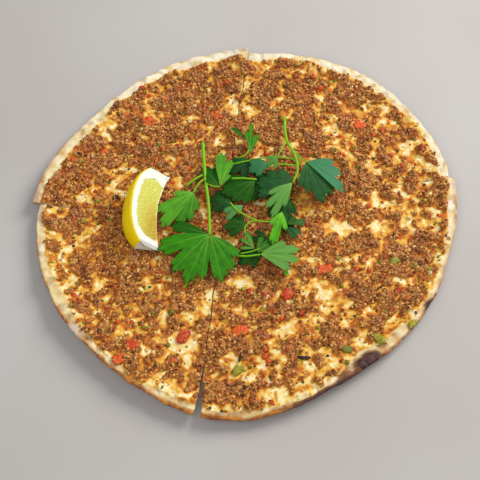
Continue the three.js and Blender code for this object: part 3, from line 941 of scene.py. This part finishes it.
lemon = Finish("lemon", Specular_IOR_Level=0.35)
flesh, ripe, rind = lemon.mask("flesh"), lemon.mask("ripe"), lemon.mask("rind")
peel_colour = lemon.blend(lemon.mask("green"), "f8de00", "c8d020")
peel_colour = lemon.blend(lemon.mottle(9, 2).step(0.3, 0.7) * 0.5, peel_colour, "f0c200")
pith_colour = lemon.blend(lemon.mottle(4, 3).step(0.4, 0.7) * 0.6, "e2e2d8", "d8d7c4")
juice_colour = lemon.blend(ripe, "c6c656", "b2920a")
juice_colour = lemon.blend(lemon.mask("sac") * 0.35, juice_colour, "d0d084")
juice_colour = lemon.blend(lemon.mask("pip"), juice_colour, "a3a845")
cut_colour = lemon.blend(flesh, pith_colour, juice_colour)
# The dent at the wedge's upper tip is painted bluish grey: painted shade in the hollow.
cut_colour = lemon.blend(lemon.mask("dent"), cut_colour, "9fa9a8")
lemon.wear(
    lemon.blend(rind, cut_colour, peel_colour),
    roughness=0.62 - 0.34 * flesh - 0.2 * rind,
    height=lemon.mottle(0.9, 2) * (0.25 + rind),
    depth=0.22,
)


def lemon_face(out, y, outer, inner, slope):
    """The masks of a cut face, how far its juice sacs stand, all by the place on that face."""
    to_peel = (outer - out) * slope
    inner_corner = smooth(14, 0, out - inner)
    to_end = LEMON_TRIM - np.abs(y) - END_PITH - np.where(y > 0, 6 * inner_corner, 2 * inner_corner - 2)
    to_corner = np.hypot(np.clip(CORNER + PITH - to_peel, 0, None), np.clip(CORNER - to_end, 0, None))
    inside = 0.44 * (CORNER - to_corner)
    wavy = inside + 0.5 * swell(out, y, 2.4, 121)
    flesh_share = smooth(0.0, 0.9, wavy) * smooth(-0.3, 0.4, out - inner - 0.5 * smooth(4, 20, y))
    fan = y * (1 + 0.25 * (1 - out / LEMON_RADIUS))
    sacs = grains(out * 0.34 + 0.6 * swell(out, y, 3, 123), fan, 1.25, 124)[0]
    pip = np.exp(-(((out - LEMON_SEED[0]) / 1.3) ** 2 + ((y - LEMON_SEED[1]) / LEMON_SEED[2]) ** 2) * 1.2)
    ripe_share = np.clip(0.1 + 0.95 * smooth(14, -14, y) * smooth(26, 8, out), 0, 1)
    # A small dent by the core at the upper tip, which is sunk into the face and painted with shade.
    dent = 0.8 * np.exp(-(((out - 3.2) / 1.0) ** 2 + ((y - 27.2) / 1.6) ** 2))
    relief = -0.55 * flesh_share + 0.38 * sacs * flesh_share + 0.9 * pip * flesh_share - 0.5 * dent
    relief = relief + 0.25 * (swell(out, y, 3.5, 125) - 0.5) * (1 - flesh_share)
    return flesh_share, ripe_share, 1 - sacs, pip * flesh_share, dent, relief


def lemon_wedge():
    """The wedge's skin, station by station along its length, as one loop round each station."""
    y = LEMON_TRIM * np.linspace(1, -1, LEMON_STATIONS + 1)
    share = np.abs(y) / LEMON_HALF_LENGTH
    outer = LEMON_RADIUS * (1 - share**LEMON_FULLNESS) ** (1 / LEMON_FULLNESS)
    slope = np.cos(np.arctan(np.gradient(outer, y)))
    inner = LEMON_TIP + LEMON_BOW * (1 - (y / LEMON_TRIM) ** 2) + 0.5 * (swell(y, y * 0, 4, 126) - 0.5)
    top_turn = math.radians(LEMON_ANGLE)
    ease = 0.5 - 0.5 * np.cos(np.pi * np.linspace(0, 1, FACE_POINTS + 1))
    arc = 0.5 - 0.5 * np.cos(np.pi * np.linspace(0, 1, ARC_POINTS + 1))[1:-1]
    core = np.linspace(0, 1, CORE_POINTS + 1)[1:-1]
    along = np.concatenate((ease, np.ones(len(arc)), ease[::-1], np.zeros(len(core))))
    turned = np.concatenate((np.ones(len(ease)), 1 - arc, np.zeros(len(ease)), core)) * top_turn
    on_top = (np.arange(len(along)) < len(ease)).astype(float)
    past_peel = np.arange(len(along)) - len(ease) - len(arc)
    on_foot = (past_peel >= 0) & (past_peel < len(ease))
    yy, along = np.meshgrid(y, along, indexing="ij")
    out = inner[:, None] + (outer - inner)[:, None] * along
    masks = lemon_face(out, yy, outer[:, None], inner[:, None], slope[:, None])
    flat = on_top + on_foot
    relief = masks[5] * flat * smooth(0, 0.6, out - inner[:, None]) * smooth(0, 0.8, outer[:, None] - out)
    from_edge = np.minimum(turned, top_turn - turned) * LEMON_RADIUS
    rounded = 0.9 * bell(from_edge, 1.1) * smooth(0.92, 1.0, along)
    pores = 0.16 * grains(turned * LEMON_RADIUS + 0 * yy, yy, 1.5, 127)[0] * (1 - flat)
    out = out - rounded - pores * (along > 0.99) * smooth(0.5, 2.0, from_edge)
    x, z = -out * np.cos(turned), out * np.sin(turned)
    dropped = END_DROP * (1 - smooth(0, END_ROUND, LEMON_TRIM - np.abs(yy))) ** 2
    relief = relief - dropped * on_top
    x = x + relief * on_top * math.sin(top_turn)
    z = z + relief * on_top * math.cos(top_turn) - relief * on_foot * 0.4 + FOOT_LIFT * on_foot
    rind_share = np.where(along > 0.99, smooth(-0.2, 0.7, from_edge + 0.35), 0) * (1 - flat)
    to_peel = (outer[:, None] - out) * slope[:, None]
    rind_share = np.maximum(rind_share, flat * 0.85 * smooth(1.5, 0.3, to_peel))
    green = smooth(14, 30, yy) * 0.8 * (0.4 + 0.6 * swell(turned * 30, yy, 8, 128))
    masks = dict(flesh=masks[0] * flat, ripe=masks[1], sac=masks[2] * masks[0], pip=masks[3], dent=masks[4])
    return np.stack((x, yy, z), -1), {**masks, "rind": rind_share, "green": green}


skin, lemon_masks = lemon_wedge()
ids = np.arange(skin.shape[0] * skin.shape[1]).reshape(skin.shape[:2])
lemon_quads = [cells_round(ids)]
lemon_points = skin.reshape(-1, 3)
for last_row in (ids[0][::-1], ids[-1]):
    rim = lemon_points[last_row]
    centre = rim.mean(axis=0)
    lemon_quads.append(cap(last_row, len(lemon_points), len(CAP_RINGS)))
    lemon_points = np.concatenate((lemon_points, *[centre + ring * (rim - centre) for ring in CAP_RINGS]))
padding = np.zeros(len(lemon_points) - ids.size)
lemon_masks = {mask: np.append(value + np.zeros(ids.shape), padding) for mask, value in lemon_masks.items()}
lemon_x, lemon_y = turned_to(lemon_points[:, 0], lemon_points[:, 1], LEMON_TURN, LEMON_PLACE)
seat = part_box("lemon_wedge")[0][2] / MM
wedge = mesh_piece(
    "lemon_slice",
    np.stack((lemon_x, lemon_y, lemon_points[:, 2] + seat), -1),
    wound(np.concatenate(lemon_quads)),
    lemon,
    **lemon_masks,
)
serve(wedge, "lemon", "lemon_wedge")

# --- The parsley -----------------------------------------------------------------------------------
# Three sprigs of flat-leaved parsley, laid on the middle as a garnish: thin round stalks that fork,
# and soft leaves cut into toothed lobes, each lobe pleated along the veins that feed its teeth.

LOBE_COLUMNS = 26
LEAF_ROWS = 20
LEAF_HALF = 0.17
LEAF_REST = 3.3
LEAF_STACK = 0.3
TEETH_DEEP = 0.13
SHADED = 0.21

# Each vein of a lobe: where it ends across the lobe, where it leaves the middle one, width, strength.
VEINS = ((0.0, 0.0, 0.34, 1.0), (0.5, 0.35, 0.2, 0.3), (-0.5, 0.35, 0.2, 0.3))
STALK_SIDES = 12
STALK_STEPS = 9

# Each stalk is (radius at its thick end, at its thin end, the points on its way). Each leaf has the
# place of its base, its lobes as (heading in degrees, length, half spread in degrees), how far it
# arches up and hangs down, and its shade: green, pale, and a bluish painted sheen that stands for
# light reflected off its gloss.
LEFT_STALKS = (
    (1.25, 0.9, ((-33, 60, 7), (-31.5, 40, 10), (-30, 23, 11.5), (-27.5, 2, 11.5), (-26.3, -21, 10.3))),
    (1, 0.9, ((-44.5, 22, 7), (-38, 26, 9.5), (-31, 30, 10.5))),
    (0.7, 0.6, ((-31.5, 25, 11), (-35, 21, 11.5), (-38.8, 14, 10.5))),
    (0.6, 0.5, ((-30, 22, 11.5), (-25, 18, 13), (-19.5, 17, 13.3))),
    (0.6, 0.5, ((-40, -53.5, 6.6), (-41.5, -57.5, 7), (-43.5, -60.5, 6.2))),
)
LEFT_LEAVES = (
    ((-26.8, -21, 10.3), ((161, 29, 17),), (1, 4), (0.25, 0, 0)),
    ((-26.8, -21, 10.6), ((197, 38, 20), (228, 38, 16), (247, 41, 13), (262, 36, 10)), (3, 6), (0.62, 0, 0)),
    ((-26.3, -21, 10.6), ((284, 37, 16), (301, 33, 13), (320, 28, 14)), (3, 6), (0.6, 0, 0)),
    ((-38.6, 14, 10.5), ((186, 15, 16), (211, 31, 14), (230, 36, 14)), (2, 5), (0.75, 0.3, 0)),
    ((-38.6, 14, 10.3), ((248, 29, 14), (265, 24, 11), (283, 16, 12)), (2, 5), (0.6, 0.1, 0)),
    ((-19.5, 17.5, 13), ((105, 19, 12), (124, 23, 20), (150, 13, 14)), (1, 5), (0.22, 0, 0)),
    ((-19.5, 17.5, 13.6), ((50, 12, 14), (70, 25, 13), (89, 31, 14)), (3, 5), (0.72, 0.25, 0)),
)
RIGHT_STALKS = (
    (1.1, 0.8, ((29, 84, 7.5), (29.5, 60, 13), (35.5, 43, 15.5), (37, 30, 15.5), (33.5, 20.5, 14.3))),
    (0.5, 0.4, ((28.5, 57, 13), (25.5, 49, 14.5), (22.6, 43, 15.2))),
    (0.6, 0.5, ((30, 58, 13.5), (35.5, 45.5, 15.5), (43.5, 37, 15.2))),
    (0.6, 0.5, ((-12.7, 39, 9), (1.4, 41, 11.5), (16.7, 42.5, 14), (34, 40.5, 14.5), (40, 35.5, 14.5))),
    (0.6, 0.6, ((15.5, 37.5, 14), (22.5, 36.5, 14.2), (35.5, 35, 14.5))),
    (0.6, 0.5, ((-11, 44, 8), (-1, 46.5, 11), (2.7, 54, 11.6))),
    (0.7, 0.6, ((-11, 24, 13.6), (-2, 24, 13.9), (7, 23.5, 13))),
)
RIGHT_LEAVES = (
    ((-11, 9, 9), ((150, 14, 18), (178, 17, 19), (211, 17, 21), (244, 13, 18)), (1, 3), (0.05, 0, 0.05)),
    ((6, 23.5, 12.2), ((180, 24, 16), (202, 27, 17), (225, 24, 16), (248, 21, 15)), (2, 5), (0.2, 0, 0)),
    (
        (34, 23.5, 12.5), ((140, 14, 14), (161, 22, 13), (184, 28, 14), (206, 30, 13), (224, 24, 11)),
        (2, 5), (0.05, 0, 0.15),
    ),
    ((29, 11, 10), ((204, 15, 17), (231, 21, 17), (262, 21, 17), (288, 16, 16)), (1, 3), (0.06, 0, 0.05)),
    ((6, 42, 10), ((183, 20, 15), (207, 22, 13), (236, 17, 17), (270, 14, 16)), (1, 3), (0.02, 0, 0.1)),
    ((20, 27, 10.5), ((170, 17, 14), (198, 22, 15), (226, 26, 14), (250, 19, 13)), (1, 4), (0.06, 0, 0)),
    ((33, 20, 14.3), ((209, 21, 10), (226, 29, 10), (241, 33, 9), (252, 22, 8)), (3, 6), (0.45, 0.75, 0.2)),
    ((15.5, 37.6, 14.2), ((175, 14, 18), (205, 16, 18), (232, 14, 16)), (2, 5), (0.12, 0, 0.6)),
    ((22.6, 42.6, 15.2), ((195, 9, 18), (228, 13, 17), (258, 11, 16)), (1, 4), (0.35, 0.55, 0.2)),
    ((2.7, 48, 11.2), ((88, 29, 6), (99, 20, 9), (72, 17, 13)), (4, 5), (0.6, 0, 0)),
    ((-0.8, 61, 9.2), ((129, 17, 11),), (2, 4), (0.3, 0, 0)),
    ((43.5, 37, 15.2), ((257, 22, 11), (273, 26, 10), (290, 34, 11), (306, 32, 11)), (3, 9), (0.12, 0, 0.15)),
    ((43.5, 37, 15.8), ((320, 36, 9), (338, 28, 12), (357, 21, 13)), (4, 9), (0.1, 0, 0.9)),
)
FRONT_STALKS = (
    (0.6, 0.5, ((-12, 4.5, 12), (-7, -2, 12.3), (1, -7, 11.5), (7, -9.5, 11))),
    (0.6, 0.5, ((-1.5, -19, 9), (-1, -14, 10.3), (4.5, -10.5, 11.5), (17, -11, 12), (25, -5, 13))),
    (0.7, 0.6, ((-6.5, -37.3, 9), (0, -38, 10), (9, -37.5, 11.5))),
    (0.5, 0.4, ((-4.5, -35.5, 9), (3, -34.5, 10.5), (9, -32.5, 11.2))),
)
FRONT_LEAVES = (
    ((-1, -13.5, 9.3), ((119, 12, 15), (146, 15, 16), (180, 16, 18), (210, 14, 16)), (1, 3), (0.12, 0, 0)),
    ((-3, 2.5, 11.5), ((196, 15, 16), (222, 16, 15), (250, 8, 13)), (1, 4), (0.5, 0.5, 0.5)),
    ((27, -2, 9.5), ((262, 15, 15), (290, 16, 15), (316, 12, 15)), (1, 3), (0.05, 0, 0)),
    ((28.4, -12.8, 10.5), ((12, 14, 17), (44, 9, 17)), (1, 3), (0.15, 0.1, 0)),
    ((27.3, -14.8, 9.5), ((344, 12, 17), (312, 11, 19)), (1, 3), (0.08, 0, 0.1)),
    ((25, -4, 13.4), ((232, 14, 14), (254, 27, 14), (278, 16, 12)), (3, 5), (0.9, 0.1, 0)),
    ((5, -31.6, 9.5), ((112, 16, 13), (138, 13, 13), (178, 10, 15)), (1, 3), (0.55, 0.3, 0.1)),
    ((14, -22, 9), ((150, 10, 16), (190, 12, 17), (250, 13, 18), (290, 12, 17)), (1, 3), (0.04, 0, 0)),
    ((6.7, -34.6, 10.3), ((10, 16, 17), (40, 20, 18), (72, 13, 17)), (1, 4), (0.3, 0.1, 0)),
    ((9, -37.6, 12), ((332, 24, 15), (352, 28, 13), (11, 29, 13), (28, 21, 11)), (3, 6), (0.6, 0.65, 0.1)),
    ((10, -35, 8.6), ((172, 15, 17), (203, 18, 18), (236, 13, 17)), (1, 3), (0.08, 0, 0)),
    ((24.8, -45, 8.5), ((293, 8, 20),), (0, 1), (0.9, 0, 0)),
)
SPRIGS = {
    "left": (LEFT_STALKS, LEFT_LEAVES),
    "right": (RIGHT_STALKS, RIGHT_LEAVES),
    "front": (FRONT_STALKS, FRONT_LEAVES),
}

herb = Finish("parsley", Roughness=0.58, Specular_IOR_Level=0.15)
green, vein = herb.mask("green"), herb.mask("vein")
herb_colour = herb.blend(green.step(0.0, 0.55), "093002", "256c00")
herb_colour = herb.blend(green.step(0.5, 1.0), herb_colour, "54ae04")
herb_colour = herb.blend(herb.mottle(6, 3).step(0.42, 0.66) * 0.5, herb_colour, "185802")
herb_colour = herb.blend(herb.mask("pale"), herb_colour, "5e8c36")
# Some leaves get a bluish painted sheen: painted reflection of light on their gloss.
herb_colour = herb.blend(herb.mask("bloom") * 0.6, herb_colour, "4c9468")
herb_colour = herb.blend(vein * (0.06 + 0.6 * green), herb_colour, "8cbc48")
herb_colour = herb.blend(herb.mask("stalk"), herb_colour, "7cb81c")
herb.wear(herb_colour, height=herb.mottle(0.7, 2) + 0.3 * vein, depth=0.12)


def leaf(base, lobes, arch, shade, seed):
    """One leaf: a thin closed blade round its base, with a lobe for each heading."""
    fuller = 1.0 + 0.25 * (shade[0] < SHADED)
    lobes = sorted((heading, length, spread * fuller) for heading, length, spread in lobes)
    bearing = np.concatenate([np.linspace(h - w, h + w, LOBE_COLUMNS + 1) for h, _, w in lobes])
    bearing = np.unique(np.round(bearing, 3))
    longest = max(length for _, length, _ in lobes)
    reach = np.full(bearing.shape, 0.02 * longest)
    off, half = np.zeros(bearing.shape), np.ones(bearing.shape)
    for heading, length, spread in lobes:
        aside = (bearing - heading) / spread
        tooth = 1 - TEETH_DEEP + TEETH_DEEP * np.abs(np.cos(2.0 * np.pi * aside)) ** 0.7
        lobe = length * np.sqrt(np.clip(1 - np.abs(aside) ** 2.5, 0, 1)) * tooth
        off, half = np.where(lobe > reach, aside, off), np.where(lobe > reach, math.radians(spread), half)
        reach = np.maximum(reach, lobe)
    t = np.linspace(0, 1, LEAF_ROWS + 1) ** 0.85
    r = reach[:, None] * t
    turned = np.radians(bearing)[:, None]
    x, y = base[0] + r * np.cos(turned), base[1] + r * np.sin(turned)
    nearest, vein_share = np.full(r.shape, 9.0), np.zeros(r.shape)
    for end, start, width, strength in VEINS:
        path = end * np.clip((t - start) / (1 - start), 0, 1) ** 0.75
        away = np.abs(off[:, None] - path) * half[:, None] * r
        away = np.where(t >= start, away, 9.0)
        nearest = np.minimum(nearest, away)
        vein_share = np.maximum(vein_share, strength * bell(away, width))
    share = r / longest
    z = base[2] + arch[0] * share * 2 - (arch[0] + arch[1]) * share**2
    z = z + 0.08 * (1 - bell(nearest, 2.2)) * np.minimum(1, r / 5)
    z = z + 1.2 * (swell(x, y, 9, seed) - 0.5) * share + 0.7 * np.abs(off[:, None]) ** 2 * share
    floor = bread_top(x, y) + LEAF_REST + LEAF_STACK * (seed % 3)
    z = floor + np.logaddexp(0, (z - floor) * 2.2) / 2.2
    upper, lower = np.stack((x, y, z + LEAF_HALF), -1), np.stack((x, y, z - LEAF_HALF), -1)
    vein_share = vein_share * (1 - 0.85 * t) * np.minimum(1, r / 1.5)
    ones = np.ones(2 * r.size)
    # The third shade sets the leaf's painted sheen, a bluish painted reflection.
    masks = {
        "green": ones * shade[0],
        "pale": np.concatenate((np.full(r.size, shade[1]), np.full(r.size, 0.75))),
        "bloom": ones * shade[2],
        "vein": np.tile(vein_share.ravel(), 2),
        "stalk": np.zeros(2 * r.size),
    }
    return np.concatenate((upper.reshape(-1, 3), lower.reshape(-1, 3))), wound(two_skins(r.shape)), masks


def stalk(thick, thin, route):
    """A round, faintly ribbed stalk along a smooth route, from its thick end to its thin end."""
    knots = np.array(route, float)
    knots = np.concatenate((2 * knots[:1] - knots[1:2], knots, 2 * knots[-1:] - knots[-2:-1]))
    path = []
    for k in range(len(route) - 1):
        p0, p1, p2, p3 = knots[k : k + 4]
        for u in np.linspace(0, 1, STALK_STEPS, endpoint=False):
            curve = 2 * p1 + (p2 - p0) * u + (2 * p0 - 5 * p1 + 4 * p2 - p3) * u**2
            path.append(0.5 * (curve + (3 * p1 - p0 - 3 * p2 + p3) * u**3))
    path = np.array([*path, knots[-2]])
    along = np.gradient(path, axis=0)
    along /= np.linalg.norm(along, axis=1, keepdims=True)
    side = np.cross(along, (0, 0, 1))
    side /= np.linalg.norm(side, axis=1, keepdims=True)
    over = np.cross(side, along)
    turn = np.linspace(0, 2 * np.pi, STALK_SIDES, endpoint=False)
    radius = np.linspace(thick, thin, len(path))[:, None] * (1 + 0.05 * np.cos(4 * turn))
    rings = path[:, None] + (radius * np.cos(turn))[..., None] * side[:, None]
    rings = rings + (radius * np.sin(turn))[..., None] * over[:, None]
    tips = (path[:1] - 0.2 * along[:1], path[-1:] + 0.2 * along[-1:])
    points = np.concatenate((rings.reshape(-1, 3), *tips))
    ids = np.arange(rings.shape[0] * STALK_SIDES).reshape(-1, STALK_SIDES)
    first, last = np.full((1, STALK_SIDES), ids.size), np.full((1, STALK_SIDES), ids.size + 1)
    triangles = wound(cells_round(np.concatenate((first, ids, last))[::-1]))
    none = np.zeros(len(points))
    shades = {"green": none + 0.6, "pale": none + 0.15, "bloom": none, "vein": none, "stalk": none + 0.85}
    return points, triangles, shades


for side, (stalks, leaves) in SPRIGS.items():
    parts = [stalk(*given) for given in stalks]
    parts += [leaf(*given, 140 + k) for k, given in enumerate(leaves)]
    points, triangles, masks = joined(parts)
    serve(mesh_piece(f"sprig_{side}", points, triangles, herb, **masks), "parsley", f"parsley_{side}")

# --- The table, the light and the view -----------------------------------------------------------
# A plain pale cloth-covered table, lit by one wide soft window from the right and behind, with the
# room's own light all round. The view is from the front and well above.

TABLE_HALF = 5000
TABLE_DROP = 0.2
VIEW_TARGET = np.array((-5.0, -19.6, 0.0))
VIEW_HEIGHT = 61.1
VIEW_DISTANCE = 642.8
VIEW_ANGLE = 30.0

cloth = Finish("plain table", Roughness=0.85, Specular_IOR_Level=0.2)
cloth.wear(
    cloth.blend(cloth.mottle(240, 2).step(0.35, 0.65), "b0aca9", "aaa5a1"),
    height=cloth.mottle(1.2, 2),
    depth=0.05,
)
corners = np.array([[-1, -1, 0], [1, -1, 0], [1, 1, 0], [-1, 1, 0]]) * TABLE_HALF - (0, 0, TABLE_DROP)
table = mesh_piece("table", corners, np.array([[0, 1, 2], [0, 2, 3]]), cloth)


def aimed(direction):
    """The turn that points a lamp or camera, which look along their own -Z, in a direction."""
    x, y, z = direction / np.linalg.norm(direction)
    return math.acos(-z), 0, -math.atan2(x, y)


def lamp(name, place, aim, size, watts, colour):
    """A soft panel of light, size millimetres across, that faces its aim."""
    light = bpy.data.lights.new(name, "AREA")
    light.shape = "DISK"
    light.size = size * MM
    light.energy = watts
    light.color = colour
    panel = linked(name, light)
    panel.location = np.array(place) * MM
    panel.rotation_euler = aimed(np.subtract(aim, place))


lamp("window", (900, 700, 900), (0, 0, 0), 900, 24, (1.0, 0.985, 0.95))
lamp("sky", (-400, -800, 1300), (0, 0, 0), 1800, 12, (0.98, 0.985, 1.0))

world = bpy.data.worlds.new("room")
world.use_nodes = True
room_light = world.node_tree.nodes["Background"].inputs
room_light["Color"].default_value = (0.95, 0.97, 1.0, 1)
room_light["Strength"].default_value = 0.4
bpy.context.scene.world = world
bpy.context.scene.view_settings.view_transform = "Standard"

lens = bpy.data.cameras.new("view")
lens.angle = math.radians(VIEW_ANGLE)
camera = linked("view", lens)
tilt = math.radians(VIEW_HEIGHT)
gaze = np.array((0, math.cos(tilt), -math.sin(tilt)))
camera.location = (VIEW_TARGET - gaze * VIEW_DISTANCE) * MM
camera.rotation_euler = (math.pi / 2 - tilt, 0, 0)
bpy.context.scene.camera = camera
